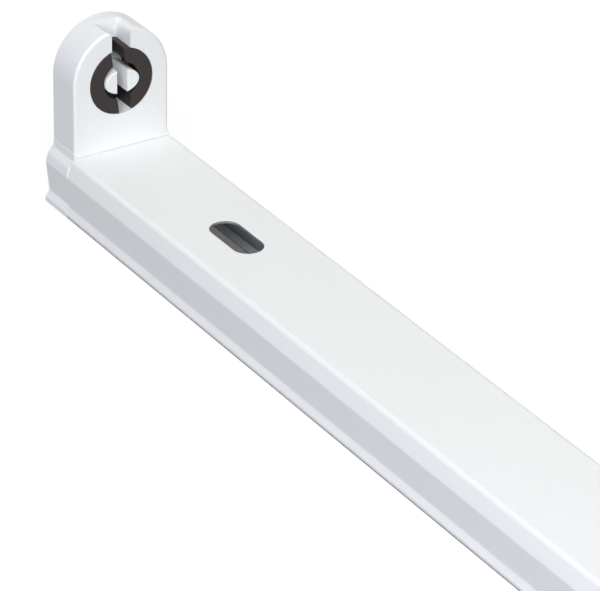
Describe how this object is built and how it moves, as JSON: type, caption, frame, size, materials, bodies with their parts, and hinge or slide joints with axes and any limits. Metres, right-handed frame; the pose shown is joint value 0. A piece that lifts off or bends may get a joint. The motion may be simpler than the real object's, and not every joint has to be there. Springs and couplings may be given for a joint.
{
  "type": "led tube batten fitting",
  "caption": "Slim white steel batten with a turning lampholder on a moulded cap at each end, for one tube lamp of the two-pin kind.",
  "frame": {"origin": "middle of the batten's length and width, on the plane of the lips that lies against the ceiling", "axes": "+X along the batten, away from the pictured end; +Z away from the ceiling, towards the lamp; -Y is the side nearest the camera in the picture"},
  "size_m": [0.613, 0.032, 0.0479],
  "materials": {
    "painted_steel": "white powder coat, satin",
    "moulded_white": "white moulded plastic, soft gloss",
    "rotor_plastic": "dark grey-brown moulded plastic, satin",
    "spring_brass": "bright spring brass",
    "block_plastic": "natural white polyamide",
    "plated_steel": "zinc plated",
    "tinned_copper": "tinned",
    "lead_brown": "brown insulation",
    "lead_blue": "blue insulation",
    "lead_green_yellow": "green and yellow striped insulation",
    "clip_plastic": "natural white polyamide"
  },
  "bodies": {
    "batten": {"batten_body": "painted_steel", "left_end_cap": "moulded_white", "right_end_cap": "moulded_white", "left_back_cover": "moulded_white", "right_back_cover": "moulded_white", "left_near_contact": "spring_brass", "left_far_contact": "spring_brass", "right_near_contact": "spring_brass", "right_far_contact": "spring_brass", "terminal_block": "block_plastic", "terminal_barrels": "spring_brass", "terminal_screws": "plated_steel", "block_studs": "plated_steel", "block_nuts": "plated_steel", "earth_stud": "plated_steel", "earth_washer": "plated_steel", "earth_nut": "plated_steel", "earth_tag": "tinned_copper", "live_lead": "lead_brown", "neutral_lead": "lead_blue", "earth_lead": "lead_green_yellow", "wire_clips": "clip_plastic"},
    "left_rotor_body": {"left_rotor": "rotor_plastic"},
    "right_rotor_body": {"right_rotor": "rotor_plastic"}
  },
  "joints": [
    {"name": "left_rotor_turn", "type": "hinge", "parent": "batten", "child": "left_rotor_body", "pos_m": [-0.3, 0, 0.0337], "axis": [1, 0, 0], "range_deg": [-97, 83]},
    {"name": "right_rotor_turn", "type": "hinge", "parent": "batten", "child": "right_rotor_body", "pos_m": [0.3, 0, 0.0337], "axis": [-1, 0, 0], "range_deg": [-90, 90]}
  ]
}
